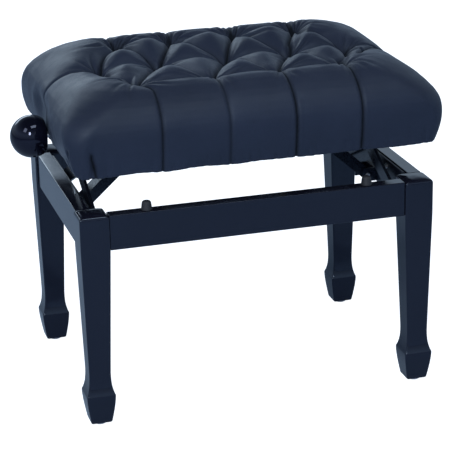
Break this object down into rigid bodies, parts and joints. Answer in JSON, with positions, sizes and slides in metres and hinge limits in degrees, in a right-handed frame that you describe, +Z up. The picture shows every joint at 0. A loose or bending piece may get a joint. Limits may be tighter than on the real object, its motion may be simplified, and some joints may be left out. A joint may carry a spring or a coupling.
{
  "type": "piano bench",
  "caption": "Piano bench with a deep-tufted leather seat on a black lacquered leg frame; a side knob turns a screw that raises and lowers the seat.",
  "frame": {"origin": "on the floor, under the middle of the object's box, knob included", "axes": "+Z up, +X to the right and the longest side, front faces -Y, the knob is on the -X side"},
  "size_m": [0.6445, 0.426, 0.541],
  "materials": {
    "lacquer": "high-gloss black polyester lacquer",
    "leather": "dark navy-grey leather, soft sheen",
    "knob": "glossy black",
    "rubber": "matt black",
    "glide": "light grey nylon",
    "black_steel": "satin black paint",
    "zinc": "zinc plated",
    "brass": "machined",
    "plywood": "black-stained birch plywood",
    "batten": "black-stained pine"
  },
  "bodies": {
    "base": {"leg_front_left": "lacquer", "glide_front_left": "glide", "bumper_front_left": "rubber", "leg_front_right": "lacquer", "glide_front_right": "glide", "bumper_front_right": "rubber", "leg_back_left": "lacquer", "glide_back_left": "glide", "bumper_back_left": "rubber", "leg_back_right": "lacquer", "glide_back_right": "glide", "bumper_back_right": "rubber", "rail_front": "lacquer", "rail_back": "lacquer", "rail_left": "lacquer", "rail_right": "lacquer", "base_bracket_left": "black_steel", "strut_clevis_left": "black_steel", "strut_pin_left": "zinc", "rail_screw_left_front": "zinc", "rail_screw_left_back": "zinc", "base_bracket_right": "black_steel", "strut_clevis_right": "black_steel", "strut_pin_right": "zinc", "rail_screw_right_front": "zinc", "rail_screw_right_back": "zinc"},
    "seat": {"seat_batten_front": "batten", "seat_batten_back": "batten", "seat_batten_left": "batten", "seat_batten_right": "batten", "spindle_bush_left": "brass", "seat_bracket_left": "black_steel", "board_screw_left_front": "zinc", "board_screw_left_back": "zinc", "spindle_bush_right": "brass", "seat_bracket_right": "black_steel", "board_screw_right_front": "zinc", "board_screw_right_back": "zinc", "seat_board": "plywood", "cushion": "leather"},
    "scissor_a": {"scissor_arm_a_left": "black_steel", "scissor_arm_a_right": "black_steel", "scissor_rivet_left": "zinc", "scissor_rivet_right": "zinc", "scissor_shaft_a_front": "zinc", "scissor_shaft_a_rear": "zinc"},
    "scissor_b": {"scissor_arm_b_left": "black_steel", "scissor_arm_b_right": "black_steel", "scissor_shaft_b_front": "zinc", "scissor_slide_pin_left": "zinc", "scissor_slide_pin_right": "zinc"},
    "strut_l": {"strut_left": "black_steel"},
    "strut_r": {"strut_right": "black_steel"},
    "nut_l": {"nut_left": "brass"},
    "nut_r": {"nut_right": "brass"},
    "spindle_shaft": {"spindle": "zinc", "knob": "knob", "spindle_collar_left": "zinc", "spindle_collar_right": "zinc"}
  },
  "joints": [
    {"name": "seat_lift", "type": "slide", "parent": "base", "child": "seat", "axis": [0, 0, 1], "range_m": [-0.053, 0.018]},
    {"name": "spindle_spin", "type": "hinge", "parent": "seat", "child": "spindle_shaft", "pos_m": [0.02425, 0, 0.42], "axis": [1, 0, 0], "range_deg": [-3338.68, 1133.89]},
    {"name": "nut_left_slide", "type": "slide", "parent": "seat", "child": "nut_l", "axis": [-1, 0, 0], "range_m": [-0.03712, 0.01261]},
    {"name": "nut_right_slide", "type": "slide", "parent": "seat", "child": "nut_r", "axis": [1, 0, 0], "range_m": [-0.03712, 0.01261]},
    {"name": "strut_left_pivot", "type": "hinge", "parent": "base", "child": "strut_l", "pos_m": [-0.21575, 0, 0.301], "axis": [0, -1, 0], "range_deg": [-20.68, 7.02]},
    {"name": "strut_right_pivot", "type": "hinge", "parent": "base", "child": "strut_r", "pos_m": [0.26425, 0, 0.301], "axis": [0, 1, 0], "range_deg": [-20.68, 7.02]},
    {"name": "scissor_a_pivot", "type": "hinge", "parent": "base", "child": "scissor_a", "pos_m": [0.02425, -0.13, 0.305], "axis": [1, 0, 0], "range_deg": [-12.06, 4.1]},
    {"name": "scissor_b_pivot", "type": "hinge", "parent": "seat", "child": "scissor_b", "pos_m": [0.02425, -0.13, 0.415], "axis": [-1, 0, 0], "range_deg": [-12.06, 4.1]}
  ],
  "couplings": [
    {"joint": "spindle_spin", "follows": "seat_lift", "rad_per_m": 1098.9},
    {"joint": "nut_left_slide", "follows": "seat_lift", "ratio": 0.7},
    {"joint": "nut_right_slide", "follows": "seat_lift", "ratio": 0.7},
    {"joint": "strut_left_pivot", "follows": "seat_lift", "rad_per_m": 6.8068},
    {"joint": "strut_right_pivot", "follows": "seat_lift", "rad_per_m": 6.8068},
    {"joint": "scissor_a_pivot", "follows": "seat_lift", "rad_per_m": 3.9706},
    {"joint": "scissor_b_pivot", "follows": "seat_lift", "rad_per_m": 3.9706}
  ]
}
